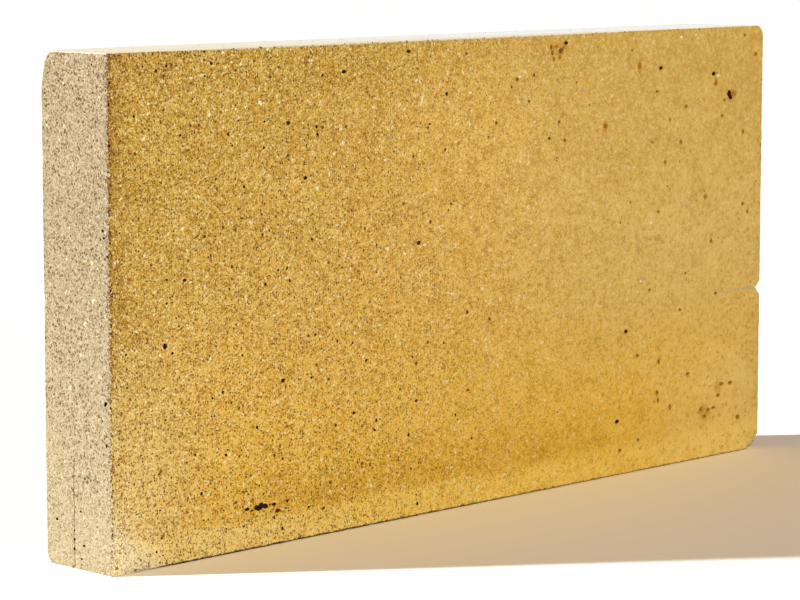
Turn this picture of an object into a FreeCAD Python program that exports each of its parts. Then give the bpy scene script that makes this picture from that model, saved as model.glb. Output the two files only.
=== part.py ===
"""A worn fireclay split: one pressed and fired brick, standing on its long narrow edge.

The row frame has X along the brick's length, Y through its thickness and Z up its height. The origin
is at the middle of the edge it stands on. The big face with the cavities looks along -Y, and the end
face with the crack along -X. All sizes are in millimetres.
"""

import FreeCAD, Part
import os

import Sketcher
from FreeCAD import Placement, Rotation, Vector

BRICK = "firebrick"

BLOCK_SIZES = {
    "length": 250.0,
    "thickness": 25.0,
    "height": 125.0,
    "arris": 0.5,
    "worn_corner": 3.0,
}

# The notch knocked out of the big face's far arris: the height of its root, its depth along the
# diagonal, and how far its two slopes reach above and below the root
NOTCH_SIZES = {
    "notch_up": 47.9,
    "notch_deep": 1.7,
    "notch_above": 2.3,
    "notch_below": 2.4,
}

# The crack that opens at the bottom of the end face and closes on its way up
CRACK_SIZES = {
    "crack_from_back": 10.7,
    "crack_wide": 0.35,
    "crack_deep": 0.9,
    "crack_tall": 27.0,
}

# The spalled corners. "end", "face" and "top" say which corner it is: the sign of X, the sign of Y,
# and whether it is an upper one. The sizes are the spall's reach through the thickness, up or down
# the height and along the length, and the knee between its steep facet and its shallow one.
SPALLS = {
    "back_top": {
        "end": -1, "face": 1, "top": True,
        "sizes": {"across": 3.6, "rise": 11.5, "along": 4.5, "knee_across": 1.4, "knee_rise": 2.8},
    },
    "back_bottom": {
        "end": -1, "face": 1, "top": False,
        "sizes": {"across": 1.6, "rise": 3.4, "along": 2.4, "knee_across": 0.7, "knee_rise": 1.2},
    },
    "front_bottom": {
        "end": 1, "face": -1, "top": False,
        "sizes": {"across": 2.8, "rise": 5.0, "along": 5.5, "knee_across": 1.3, "knee_rise": 2.0},
    },
}

# The blind cavities of the big face. "end" and "top" say which end and edge each is measured from.
# The sizes are its distance in from that end and from that edge, its half width, its half height and
# its depth.
CAVITIES = {
    "burst_first": {
        "end": -1, "top": False,
        "sizes": {"inset": 43.7, "reach": 10.2, "wide": 0.8, "tall": 0.5, "deep": 0.9},
    },
    "burst_second": {
        "end": -1, "top": False,
        "sizes": {"inset": 47.6, "reach": 10.1, "wide": 1.2, "tall": 0.8, "deep": 1.3},
    },
    "burst_third": {
        "end": -1, "top": False,
        "sizes": {"inset": 49.5, "reach": 10.3, "wide": 1.2, "tall": 0.9, "deep": 1.5},
    },
    "burst_fourth": {
        "end": -1, "top": False,
        "sizes": {"inset": 52.8, "reach": 10.2, "wide": 0.7, "tall": 0.5, "deep": 0.8},
    },
    "burst_fifth": {
        "end": -1, "top": False,
        "sizes": {"inset": 54.1, "reach": 8.4, "wide": 0.9, "tall": 0.5, "deep": 0.7},
    },
    "side_pore": {
        "end": -1, "top": False,
        "sizes": {"inset": 17.1, "reach": 54.0, "wide": 0.8, "tall": 0.7, "deep": 0.9},
    },
    "corner_pore": {
        "end": 1, "top": True,
        "sizes": {"inset": 15.9, "reach": 19.7, "wide": 0.9, "tall": 0.8, "deep": 1.0},
    },
}

# A spall and the crack run out to this share of their mouth's section
RUN_OUT = 0.12

# A notch looks out at half a right angle, between the big face and the end
DIAGONAL = -45.0

# Two faces that meet at less than this angle flow into each other, and their edge stays as it is
SMOOTH_JOIN = 0.3

# The least that a cut takes away, in cubic millimetres
LEAST_CUT = 0.01


def new_sheet(document):
    """Write every driving size into one sheet, each under a name of its own."""
    sizes = {**BLOCK_SIZES, **NOTCH_SIZES, **CRACK_SIZES}
    for group in (SPALLS, CAVITIES):
        for feature, values in group.items():
            for name, value in values["sizes"].items():
                sizes[f"{feature}_{name}"] = value
    sheet = document.addObject("Spreadsheet::Sheet", "Sizes")
    for row, (name, value) in enumerate(sizes.items(), start=1):
        sheet.set(f"A{row}", name)
        sheet.set(f"B{row}", str(value))
        sheet.setAlias(f"B{row}", name)
    document.recompute()
    return sheet


def origin_plane(body, role):
    """Find one of the body's own origin planes."""
    for feature in body.Origin.OriginFeatures:
        if feature.Role == role:
            return feature
    raise RuntimeError(f"the body has no plane {role}")


def polygon(body, name, role, corners, shift=None, turn=None):
    """Draw a closed polygon on an origin plane, each corner bound to two expressions.

    shift holds expressions for the sketch's place off that plane, and turn is its rotation there.
    """
    sketch = body.newObject("Sketcher::SketchObject", name)
    sketch.AttachmentSupport = [(origin_plane(body, role), "")]
    sketch.MapMode = "FlatFace"
    if turn is not None:
        sketch.AttachmentOffset = Placement(Vector(), turn)
    for axis, expression in (shift or {}).items():
        sketch.setExpression(f"AttachmentOffset.Base.{axis}", expression)
    count = len(corners)
    rough = [Vector(1, 0, 0), Vector(0, 1, 0), Vector(-1, 0, 0), Vector(0, -1, 0)][:count]
    for corner in range(count):
        sketch.addGeometry(Part.LineSegment(rough[corner], rough[(corner + 1) % count]), False)
    for corner in range(count):
        following = (corner + 1) % count
        sketch.addConstraint(Sketcher.Constraint("Coincident", corner, 2, following, 1))
    for corner, place in enumerate(corners):
        for kind, expression in zip(("DistanceX", "DistanceY"), place):
            pin = sketch.addConstraint(Sketcher.Constraint(kind, -1, 1, corner, 1, 0.5))
            sketch.setExpression(f"Constraints[{pin}]", expression)
    return sketch


def check_cut(feature, what):
    """Recompute, and make sure that the feature has cut something off its base."""
    feature.Document.recompute()
    if feature.BaseFeature.Shape.Volume - feature.Shape.Volume < LEAST_CUT:
        raise RuntimeError(f"{what} cuts nothing")


def add_block(body):
    """Pad the rectangle of the big face by the brick's thickness."""
    half = "Sizes.length / 2"
    corners = [
        (f"-{half}", "0"),
        (half, "0"),
        (half, "Sizes.height"),
        (f"-{half}", "Sizes.height"),
    ]
    block = body.newObject("PartDesign::Pad", "Block")
    block.Profile = polygon(body, "BigFace", "XZ_Plane", corners)
    block.SideType = "Symmetric"
    block.setExpression("Length", "Sizes.thickness")
    body.Document.recompute()
    return block


def meets_sharply(shape, edge):
    """Tell whether the two faces that share an edge meet at a real angle."""
    place = edge.valueAt((edge.FirstParameter + edge.LastParameter) / 2)
    normals = []
    for face in shape.ancestorsOfType(edge, Part.Face):
        normals.append(face.normalAt(*face.Surface.parameter(place)))
    return normals[0].getAngle(normals[1]) > SMOOTH_JOIN


def round_edges(body, name, base, wanted, radius):
    """Round the edges of the base that the given test picks."""
    picked = []
    for number, edge in enumerate(base.Shape.Edges, start=1):
        if wanted(edge):
            picked.append(f"Edge{number}")
    rounding = body.newObject("PartDesign::Fillet", name)
    rounding.Base = (base, picked)
    rounding.setExpression("Radius", radius)
    check_cut(rounding, name)
    return rounding


def wear_edges(body, block):
    """Round the far upper corner of the outline, then every arris by a little."""
    box = block.Shape.BoundBox

    def is_far_corner(edge):
        centre = edge.CenterOfMass
        return centre.x > box.XMax - SMOOTH_JOIN and centre.z > box.ZMax - SMOOTH_JOIN

    corner = round_edges(body, "WornCorner", block, is_far_corner, "Sizes.worn_corner")
    return round_edges(
        body, "WornArrises", corner, lambda edge: meets_sharply(corner.Shape, edge), "Sizes.arris")


def run_out(body, name, mouth, tip):
    """Cut between two like sections: the mouth of a break and the place where it runs out."""
    cut = body.newObject("PartDesign::SubtractiveLoft", name)
    cut.Profile = mouth
    cut.Sections = [tip]
    cut.Ruled = True
    check_cut(cut, name)
    return cut


def spall_section(body, spall, values, share, plane_at):
    """Draw one section of a spall across the thickness, at a share of its full size."""
    side = "" if values["face"] > 0 else "-"
    level = "Sizes.height" if values["top"] else "0"
    inwards = "-" if values["face"] > 0 else "+"
    onwards = "-" if values["top"] else "+"
    arris = f"{side}Sizes.thickness / 2"

    def across(size):
        return f"{arris} {inwards} Sizes.{spall}_{size} * {share}"

    def up(size):
        return f"{level} {onwards} Sizes.{spall}_{size} * {share}"

    corners = [
        (arris, level),
        (across("across"), level),
        (across("knee_across"), up("knee_rise")),
        (arris, up("rise")),
    ]
    return polygon(body, f"{spall}_at_{int(share == 1)}", "YZ_Plane", corners, {"z": plane_at})


def cut_spall(body, spall, values):
    """Break one corner off, deepest at the end face and running out along the length."""
    side = "" if values["end"] > 0 else "-"
    inwards = "-" if values["end"] > 0 else "+"
    end_face = f"{side}Sizes.length / 2"
    mouth = spall_section(body, spall, values, 1, end_face)
    tip_at = f"{end_face} {inwards} Sizes.{spall}_along"
    tip = spall_section(body, spall, values, RUN_OUT, tip_at)
    run_out(body, f"{spall}_spall", mouth, tip)


def cut_notch(body):
    """Cut the notch across the far arris of the big face, square to the diagonal."""
    above = "Sizes.notch_up + Sizes.notch_above"
    below = "Sizes.notch_up - Sizes.notch_below"
    corners = [("-Sizes.notch_deep", "Sizes.notch_up"), ("0", below), ("0", above)]
    place = {"x": "Sizes.length / 2", "z": "Sizes.thickness / 2"}
    turn = Rotation(Vector(0, 1, 0), DIAGONAL)
    notch = body.newObject("PartDesign::Pocket", "Notch")
    notch.Profile = polygon(body, "NotchSide", "XZ_Plane", corners, place, turn)
    notch.SideType = "Symmetric"
    notch.setExpression("Length", "4 * Sizes.notch_deep")
    check_cut(notch, "the notch")


def crack_section(body, name, share, plane_at):
    """Draw one level section of the crack: a narrow wedge with its point inside the brick."""
    end_face = "-Sizes.length / 2"
    line = "Sizes.thickness / 2 - Sizes.crack_from_back"
    half = f"Sizes.crack_wide / 2 * {share}"
    corners = [
        (end_face, f"{line} - {half}"),
        (f"{end_face} + Sizes.crack_deep * {share}", line),
        (end_face, f"{line} + {half}"),
    ]
    return polygon(body, name, "XY_Plane", corners, {"z": plane_at})


def cut_crack(body):
    """Open the crack at the foot of the end face, and close it towards its top."""
    mouth = crack_section(body, "CrackFoot", 1, "0")
    tip = crack_section(body, "CrackTop", RUN_OUT, "Sizes.crack_tall")
    run_out(body, "Crack", mouth, tip)


def cut_cavity(body, cavity, values):
    """Sink one blind, rounded cavity into the big face."""
    side = "" if values["end"] > 0 else "-"
    inwards = "-" if values["end"] > 0 else "+"
    level = f"Sizes.height - Sizes.{cavity}_reach" if values["top"] else f"Sizes.{cavity}_reach"
    hollow = body.newObject("PartDesign::SubtractiveEllipsoid", cavity)
    hollow.setExpression("Radius1", f"Sizes.{cavity}_tall")
    hollow.setExpression("Radius2", f"Sizes.{cavity}_wide")
    hollow.setExpression("Radius3", f"Sizes.{cavity}_deep")
    hollow.setExpression("Placement.Base.x", f"{side}Sizes.length / 2 {inwards} Sizes.{cavity}_inset")
    hollow.setExpression("Placement.Base.y", "-Sizes.thickness / 2")
    hollow.setExpression("Placement.Base.z", level)
    check_cut(hollow, cavity)


def make_firebrick(document):
    """Press the block, wear its edges, and break and pit it as it is."""
    body = document.addObject("PartDesign::Body", "Brick")
    body.Label = BRICK
    block = add_block(body)
    wear_edges(body, block)
    for spall, values in SPALLS.items():
        cut_spall(body, spall, values)
    cut_notch(body)
    cut_crack(body)
    for cavity, values in CAVITIES.items():
        cut_cavity(body, cavity, values)
    return body


def check_document(document):
    """Stop at any object that failed, which a recompute can leave behind without a word."""
    for thing in document.Objects:
        if "Invalid" in thing.State or "Error" in thing.State:
            raise RuntimeError(f"{thing.Label} has failed")


def export(body):
    """Write the finished solid under its node's name."""
    shape = body.Shape
    if shape.isNull() or not shape.isValid() or len(shape.Solids) != 1:
        raise RuntimeError(f"{body.Label} is not one sound solid")
    os.makedirs("parts", exist_ok=True)
    shape.exportStep(f"parts/{body.Label}.step")
    print(f"{body.Label}: {shape.Volume:.1f} cubic millimetres, {len(shape.Faces)} faces")


def main():
    """Build the brick, check it and write it out."""
    document = FreeCAD.newDocument("Firebrick")
    new_sheet(document)
    brick = make_firebrick(document)
    document.recompute()
    check_document(document)
    export(brick)


main()
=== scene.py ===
"""A worn fireclay firebrick, standing on its long narrow edge on a pale studio floor.

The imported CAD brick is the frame: X runs along the brick's length, Y through its thickness and Z up its
height, with the origin in the middle of the edge that it stands on. The script works in metres. Sizes of
wear, grain and pores are given in millimetres, and MM turns them into metres.
"""

import itertools
import logging
import math
import random
from abc import ABC, abstractmethod
from collections.abc import Callable, Iterator, Sequence
from contextlib import contextmanager
from dataclasses import dataclass, field
from enum import Enum
from typing import ClassVar

import bpy
from mathutils import Matrix, Vector


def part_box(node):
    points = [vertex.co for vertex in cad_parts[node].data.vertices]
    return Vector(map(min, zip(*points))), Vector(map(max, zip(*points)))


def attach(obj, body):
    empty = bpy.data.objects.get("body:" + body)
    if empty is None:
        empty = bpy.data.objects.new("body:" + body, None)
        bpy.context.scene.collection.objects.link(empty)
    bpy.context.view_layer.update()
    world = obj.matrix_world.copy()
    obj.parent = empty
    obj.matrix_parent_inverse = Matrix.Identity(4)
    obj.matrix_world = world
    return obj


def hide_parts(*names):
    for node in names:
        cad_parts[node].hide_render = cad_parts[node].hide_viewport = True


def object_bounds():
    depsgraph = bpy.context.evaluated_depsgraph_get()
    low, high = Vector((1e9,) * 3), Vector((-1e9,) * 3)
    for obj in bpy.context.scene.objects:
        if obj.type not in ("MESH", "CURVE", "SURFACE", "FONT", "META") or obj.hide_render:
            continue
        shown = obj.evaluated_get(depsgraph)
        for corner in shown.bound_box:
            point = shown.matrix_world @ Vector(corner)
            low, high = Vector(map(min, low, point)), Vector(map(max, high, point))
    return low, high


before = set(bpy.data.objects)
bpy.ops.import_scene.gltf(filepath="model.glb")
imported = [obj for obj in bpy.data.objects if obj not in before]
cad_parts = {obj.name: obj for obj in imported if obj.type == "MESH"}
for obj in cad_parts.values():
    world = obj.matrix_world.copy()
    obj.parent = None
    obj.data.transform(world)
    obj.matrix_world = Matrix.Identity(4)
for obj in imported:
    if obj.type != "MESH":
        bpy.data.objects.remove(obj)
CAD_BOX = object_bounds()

LOG = logging.getLogger("firebrick")
MM = 0.001
CLOSE = 0.01 * MM
NODE = "firebrick"
BODY = "root"
PHOTO_WIDE, PHOTO_HIGH = 800, 600

Colour = tuple[float, float, float]
Socket = bpy.types.NodeSocket
Owner = bpy.types.Material | bpy.types.World


class Tone(Enum):
    """What a surface of the brick is made of, or the shade painted into its hollows, numbered by its material
    slot.
    """

    CLAY = 0
    # Painted shade: near-black walls for the pores, the nicks and the crack
    SOOT = 1
    UMBER = 2
    RUST = 3
    CREAM = 4
    ASH = 5
    AMBER = 6
    DUST = 7
    BROWN = 8


class Side(Enum):
    """A side of the brick, by the axis that it faces along and the way that it looks."""

    FRONT_BED = (1, -1)
    BACK_BED = (1, 1)
    CRACKED_END = (0, -1)
    PLAIN_END = (0, 1)
    TOP = (2, 1)
    BOTTOM = (2, -1)

    @property
    def axis(self) -> int:
        """The number of the axis that the side faces along."""
        return self.value[0]

    @property
    def way(self) -> int:
        """Plus or minus one: the way that the side looks along its axis."""
        return self.value[1]

    @property
    def outwards(self) -> Vector:
        """The direction that the side looks in."""
        return Vector([self.way if axis == self.axis else 0 for axis in range(3)])


def others(axis: int) -> list[int]:
    """The numbers of the other two axes, in their order."""
    return [other for other in range(3) if other != axis]


# Modelling tools


def take(piece: bpy.types.Object) -> None:
    """Select one object alone and make it the active one.

    Args:
        piece: the object.
    """
    bpy.ops.object.select_all(action="DESELECT")
    piece.select_set(True)
    bpy.context.view_layer.objects.active = piece


@contextmanager
def editing(piece: bpy.types.Object, kind: str = "FACE") -> Iterator[bpy.types.Mesh]:
    """Hold a piece in edit mode for as long as the block runs.

    Args:
        piece: the object to edit.
        kind: what is selected in it, VERT, EDGE or FACE.

    Yields:
        Its mesh, which is up to date again once the block has ended.
    """
    take(piece)
    bpy.context.tool_settings.mesh_select_mode = tuple(kind == each for each in ("VERT", "EDGE", "FACE"))
    bpy.ops.object.mode_set(mode="EDIT")
    yield piece.data
    bpy.ops.object.mode_set(mode="OBJECT")


def pick(parts: bpy.types.bpy_prop_collection, test: Callable[..., bool], mesh: bpy.types.Mesh) -> None:
    """Select the vertices, edges or faces of a mesh that pass a test, and nothing else.

    Args:
        parts: the mesh's vertices, edges or polygons.
        test: tells from one of them whether it is wanted.
        mesh: the mesh that they belong to.
    """
    for group in (mesh.vertices, mesh.edges, mesh.polygons):
        group.foreach_set("select", [False] * len(group))
    parts.foreach_set("select", [test(part) for part in parts])


def apply_modifier(piece: bpy.types.Object, name: str, kind: str, **settings: object) -> None:
    """Put one modifier on a piece and apply it.

    Args:
        piece: the object to change.
        name: the modifier's name.
        kind: Blender's name for its type.
        **settings: its settings.
    """
    take(piece)
    modifier = piece.modifiers.new(name, kind)
    for setting, value in settings.items():
        setattr(modifier, setting, value)
    bpy.ops.object.modifier_apply(modifier=name)


def discard(piece: bpy.types.Object) -> None:
    """Delete a tool that has done its work, with its mesh.

    Args:
        piece: the tool.
    """
    mesh = piece.data
    bpy.data.objects.remove(piece)
    bpy.data.meshes.remove(mesh)


def standing_cube() -> bpy.types.Object:
    """Add a cube of size one that stands on the origin.

    Returns:
        The cube.
    """
    bpy.ops.object.select_all(action="DESELECT")
    bpy.ops.mesh.primitive_cube_add(size=1.0)
    cube = bpy.context.object
    with editing(cube, "VERT"):
        bpy.ops.mesh.select_all(action="SELECT")
        bpy.ops.transform.translate(value=(0, 0, 0.5))
    return cube


# Shader tools


class Number:
    """One number that runs through a node tree. Python's operators add Math nodes to it."""

    def __init__(self, desk: "Desk", socket: Socket) -> None:
        """Wrap an output socket of the desk's tree."""
        self.desk = desk
        self.socket = socket

    def _with(self, operation: str, *values: "float | Number") -> "Number":
        """Run some values through one Math node."""
        node = self.desk.add("ShaderNodeMath", {"operation": operation}, dict(enumerate(values)))
        return Number(self.desk, node.outputs[0])

    def __add__(self, other: "float | Number") -> "Number":
        """Add."""
        return self._with("ADD", self, other)

    __radd__ = __add__

    def __sub__(self, other: "float | Number") -> "Number":
        """Take away."""
        return self._with("SUBTRACT", self, other)

    def __rsub__(self, other: "float | Number") -> "Number":
        """Take this away from the other."""
        return self._with("SUBTRACT", other, self)

    def __mul__(self, other: "float | Number") -> "Number":
        """Multiply."""
        return self._with("MULTIPLY", self, other)

    __rmul__ = __mul__

    def __abs__(self) -> "Number":
        """The distance from nought."""
        return self._with("ABSOLUTE", self)

    def higher(self, other: "float | Number") -> "Number":
        """The higher of the two."""
        return self._with("MAXIMUM", self, other)

    def lower(self, other: "float | Number") -> "Number":
        """The lower of the two."""
        return self._with("MINIMUM", self, other)

    def rise(self, low: "float | Number", high: "float | Number") -> "Number":
        """Go smoothly from 0 to 1 as this number goes from one value to another.

        Args:
            low: the value where it is 0.
            high: the value where it is 1, which may be the lower of the two.

        Returns:
            The smooth step, which stays at 0 or 1 beyond them.
        """
        inputs = {"Value": self, "From Min": low, "From Max": high}
        node = self.desk.add("ShaderNodeMapRange", {"interpolation_type": "SMOOTHSTEP"}, inputs)
        return Number(self.desk, node.outputs["Result"])

    def slope(self, low: "float | Number", high: "float | Number") -> "Number":
        """Go straight from 0 at low to 1 at high, and stay within 0 and 1."""
        node = self.desk.add("ShaderNodeMapRange", None, {"Value": self, "From Min": low, "From Max": high})
        return Number(self.desk, node.outputs["Result"])


@dataclass(frozen=True)
class Grains:
    """Scattered grains: how far the nearest one's middle is, in millimetres, and its own chance numbers."""

    near: Number
    first: Number
    second: Number
    third: Number


class Desk:
    """The node tree of one material or of the world."""

    def __init__(self, owner: Owner) -> None:
        """Start the owner's tree afresh.

        Args:
            owner: the material or the world.
        """
        self.owner = owner
        owner.use_nodes = True
        self.tree = owner.node_tree
        self.tree.nodes.clear()

    def add(
        self, kind: str, settings: dict[str, object] | None = None,
        inputs: dict[int | str, object] | None = None,
    ) -> bpy.types.Node:
        """Add one node.

        Args:
            kind: Blender's name for its type.
            settings: its settings, which are set first.
            inputs: a value, a socket or a Number for each input, by its name or number.

        Returns:
            The new node.
        """
        node = self.tree.nodes.new(kind)
        for setting, value in (settings or {}).items():
            setattr(node, setting, value)
        for place, value in (inputs or {}).items():
            socket = node.inputs[place]
            if isinstance(value, Number):
                value = value.socket
            if isinstance(value, Socket):
                self.tree.links.new(value, socket)
            elif isinstance(value, tuple) and socket.type == "RGBA":
                socket.default_value = (*value, 1.0)
            else:
                socket.default_value = value
        return node

    def number(self, node: bpy.types.Node, output: int | str = 0) -> Number:
        """Take one output of a node as a number."""
        return Number(self, node.outputs[output])

    def millimetres(self) -> Socket:
        """The place on the object, in millimetres."""
        place = self.add("ShaderNodeTexCoord").outputs["Object"]
        return self.add("ShaderNodeMapping", None, {"Vector": place, "Scale": (1 / MM,) * 3}).outputs[0]

    def noise(self, place: Socket, grain: float, detail: float = 2.0, rough: float = 0.5) -> Number:
        """Cloudy noise of a mean of a half, whose lumps are about so many millimetres across."""
        inputs = {"Vector": place, "Scale": 1 / grain, "Detail": detail, "Roughness": rough}
        return self.number(self.add("ShaderNodeTexNoise", None, inputs), "Fac")

    def shake(self, place: Socket, grain: float, far: float) -> Socket:
        """Shift places at random, so that what is drawn there turns ragged.

        Args:
            place: the place in millimetres.
            grain: the size of the lumps that shift together.
            far: about how far the furthest shift.

        Returns:
            The shifted place.
        """
        noise = self.add("ShaderNodeTexNoise", None, {"Vector": place, "Scale": 1 / grain, "Detail": 1.0})
        shift = {0: noise.outputs["Color"], 1: (far * 2,) * 3, 2: (-far,) * 3}
        shift = self.add("ShaderNodeVectorMath", {"operation": "MULTIPLY_ADD"}, shift)
        return self.add("ShaderNodeVectorMath", None, {0: place, 1: shift.outputs[0]}).outputs[0]

    def shift(self, place: Socket, far: float) -> Socket:
        """Move every place by the same distance along each axis, to draw another pattern there."""
        return self.add("ShaderNodeVectorMath", None, {0: place, 1: (far,) * 3}).outputs[0]

    def cells(self, place: Socket, across: float) -> Grains:
        """Scatter grains about so many millimetres apart.

        Args:
            place: the place in millimetres.
            across: the mean distance from grain to grain.

        Returns:
            The nearest grain. Its chance numbers go from 0 to 1.
        """
        node = self.add("ShaderNodeTexVoronoi", None, {"Vector": place, "Scale": 1 / across})
        lots = self.add("ShaderNodeSeparateColor", None, {0: node.outputs["Color"]})
        chances = (self.number(lots, lot) for lot in range(3))
        return Grains(self.number(node, "Distance") * across, *chances)

    def mix(self, share: "float | Number", under: Colour | Socket, over: Colour | Socket) -> Socket:
        """Lay one colour over another.

        Args:
            share: how much of the upper colour shows.
            under: the lower colour.
            over: the upper colour.

        Returns:
            The colour socket of the mix.
        """
        return self.add("ShaderNodeMix", {"data_type": "RGBA"}, {0: share, 6: under, 7: over}).outputs[2]

    def shade(self, tone: Number, colour: Socket, dark: Colour, light: Colour) -> Socket:
        """Darken a colour where the tone is below nought, and lighten it where it is above."""
        darkened = self.mix((tone * -1.12).slope(0.0, 1.0), colour, dark)
        return self.mix((tone * 0.80).slope(0.0, 1.0), darkened, light)

    def seen(self) -> Number:
        """Tell what the camera sees from all other light.

        Returns:
            1 for what it sees, straight or in a sheen or through glass, and 0 for the rest.
        """
        ray = self.add("ShaderNodeLightPath")
        straight, in_sheen, through_glass = (
            self.number(ray, f"Is {way} Ray") for way in ("Camera", "Glossy", "Transmission"))
        return straight.higher(in_sheen).higher(through_glass)

    def fired(self, colour: Socket, relief: Number, rough: float, sheen: float) -> bpy.types.Material:
        """Finish a material of dry fired clay.

        Args:
            colour: its colour.
            relief: the height of its fine grain.
            rough: its roughness.
            sheen: the level of its highlights.

        Returns:
            The material.
        """
        grain = self.add("ShaderNodeBump", None, {"Strength": 0.4, "Distance": 0.2 * MM, "Height": relief})
        inputs = {
            "Base Color": colour, "Roughness": rough, "Specular IOR Level": sheen, "Normal": grain.outputs[0]}
        return self.finish(self.add("ShaderNodeBsdfPrincipled", None, inputs))

    def finish(self, shader: bpy.types.Node, output: str = "ShaderNodeOutputMaterial") -> Owner:
        """Send a shader to the output and hand the tree's owner over."""
        self.add(output, None, {"Surface": shader.outputs[0]})
        return self.owner


# The camera, and places on the brick that are read off the photograph


@dataclass(frozen=True)
class Eye:
    """The photograph's camera, fitted to the brick's corners."""

    place: tuple[float, float, float] = (-0.58582, -0.55870, 0.15782)
    heading: float = math.radians(45.41)
    pitch: float = math.radians(6.62)
    focal_pixels: float = 3035.96
    middle: tuple[float, float] = (387.37, 264.50)
    sensor: float = 36.0

    @property
    def turn(self) -> Matrix:
        """The camera's turn.

        Returns:
            The matrix whose columns are its right, its up and its backward direction.
        """
        sine, cosine = math.sin(self.heading), math.cos(self.heading)
        ahead = Vector((sine * math.cos(self.pitch), cosine * math.cos(self.pitch), -math.sin(self.pitch)))
        right = Vector((cosine, -sine, 0.0))
        return Matrix((right, right.cross(ahead), -ahead)).transposed()

    def meets(self, side: Side, across: float, down: float) -> Vector:
        """Find the place on a side of the brick that a pixel of the photograph shows.

        Args:
            side: the side of the brick.
            across: the pixel's distance from the photograph's left edge.
            down: its distance from the top edge.

        Returns:
            The place, in metres.
        """
        ray = self.turn @ Vector((across - self.middle[0], self.middle[1] - down, -self.focal_pixels))
        level = CAD_BOX[0 if side.way < 0 else 1][side.axis]
        start = Vector(self.place)
        return start + ray * ((level - start[side.axis]) / ray[side.axis])

    def make_camera(self) -> bpy.types.Object:
        """Set the scene's camera up.

        Returns:
            The camera.
        """
        bpy.ops.object.camera_add(location=self.place)
        camera = bpy.context.object
        camera.name = "camera"
        camera.matrix_world = Matrix.Translation(self.place) @ self.turn.to_4x4()
        lens = camera.data
        lens.sensor_fit = "HORIZONTAL"
        lens.sensor_width = self.sensor
        lens.lens = self.focal_pixels / PHOTO_WIDE * self.sensor
        lens.shift_x = (PHOTO_WIDE / 2 - self.middle[0]) / PHOTO_WIDE
        lens.shift_y = (self.middle[1] - PHOTO_HIGH / 2) / PHOTO_WIDE
        lens.clip_end = 50.0
        bpy.context.scene.camera = camera
        return camera


EYE = Eye()


# Dents: the pores, chips, grains and scratches of the surface, each cut as a small hollow


@dataclass(frozen=True)
class Dent:
    """One small hollow in a side of the brick.

    place is its middle on the side, half its half sizes along the side's two directions and into the
    brick, and turn its turn about the outward direction.
    """

    side: Side
    place: Vector
    half: Vector
    turn: float
    tone: Tone
    fine: bool = False

    @property
    def reach(self) -> float:
        """The furthest that it reaches from its middle."""
        return max(self.half)

    def clear_of(self, other: "Dent", margin: float = 1.0) -> bool:
        """Tell whether two dents lie apart, going by their reaches times a margin."""
        return (self.place - other.place).length > margin * (self.reach + other.reach)

    def frame(self) -> Matrix:
        """Work out where the dent's tool stands.

        Returns:
            The matrix that sets a ball of radius one into the brick as this dent.
        """
        out = self.side.outwards
        up = Vector((0, 0, 1)) if self.side.axis != 2 else Vector((0, 1, 0))
        along = up.cross(out)
        turn = Matrix.Rotation(self.turn, 4, "Z")
        basis = Matrix((along, up, out)).transposed().to_4x4()
        return Matrix.Translation(self.place) @ basis @ turn @ Matrix.Diagonal((*self.half, 1.0))


@dataclass(frozen=True)
class Mark:
    """A mark of the photograph: its pixel, its width and height there in pixels, and what it is."""

    across: float
    down: float
    wide: float
    high: float
    tone: Tone = Tone.SOOT
    deep: float = 0.6
    turn: float = 0.0

    def dent(self, side: Side) -> Dent:
        """Turn the mark into a dent.

        Args:
            side: the side of the brick that the mark is on.

        Returns:
            The dent.
        """
        place = EYE.meets(side, self.across, self.down)
        half_wide = (EYE.meets(side, self.across + self.wide / 2, self.down) - place).length
        half_high = (EYE.meets(side, self.across, self.down + self.high / 2) - place).length
        deep = self.deep * MM
        return Dent(side, place, Vector((half_wide, half_high, deep)), math.radians(self.turn), self.tone)


# The large pores of the front bed: pixel, width and height in pixels
LARGE_PORES = (
    Mark(165.1, 346.6, 4.2, 6.2, deep=1.2),
    Mark(343.8, 71.7, 4.4, 4.4, deep=0.9),
    Mark(408.7, 51.3, 4.2, 4.0, deep=0.8),
    Mark(288.5, 122.9, 4.2, 4.0, deep=0.8),
    Mark(305.4, 178.0, 4.2, 4.2, deep=0.8),
    Mark(418.6, 242.9, 4.2, 4.2, deep=0.8),
    Mark(283.0, 380.4, 4.4, 4.2, deep=0.8),
    Mark(661.1, 68.0, 3.6, 4.0, deep=0.9),
    Mark(713.8, 73.6, 3.8, 4.4, deep=0.9),
    Mark(729.4, 93.4, 4.2, 6.6, deep=1.3, turn=16),
    Mark(730.6, 97.0, 4.0, 4.4, deep=1.2, turn=-20),
    Mark(733.4, 93.6, 4.4, 6.0, Tone.BROWN, 0.3),
    Mark(626.1, 331.3, 3.6, 3.8, deep=0.7),
    Mark(617.2, 421.5, 3.8, 3.6, deep=0.8),
    Mark(184.8, 280.3, 3.8, 3.8, deep=0.7),
    Mark(566.2, 43.0, 4.0, 4.0, deep=0.7),
)

# The burst cluster near the foot of the front bed
BURST = (
    Mark(247.3, 509.4, 5.4, 3.4, deep=0.9),
    Mark(256.6, 507.6, 5.0, 5.2, deep=1.2),
    Mark(261.0, 505.8, 6.4, 6.2, deep=1.6, turn=18),
    Mark(265.4, 505.9, 6.0, 5.0, deep=1.4, turn=-20),
    Mark(259.2, 509.2, 5.0, 3.4, deep=1.1),
    Mark(274.1, 504.2, 4.4, 3.6, deep=0.8),
    Mark(270.2, 504.6, 3.0, 2.4, Tone.UMBER, 0.6),
    Mark(277.9, 510.6, 5.6, 4.4, Tone.RUST, 0.9),
    Mark(252.0, 510.8, 4.0, 2.4, Tone.UMBER, 0.5),
    Mark(286.0, 508.0, 2.6, 2.2, Tone.UMBER, 0.4),
)

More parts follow.
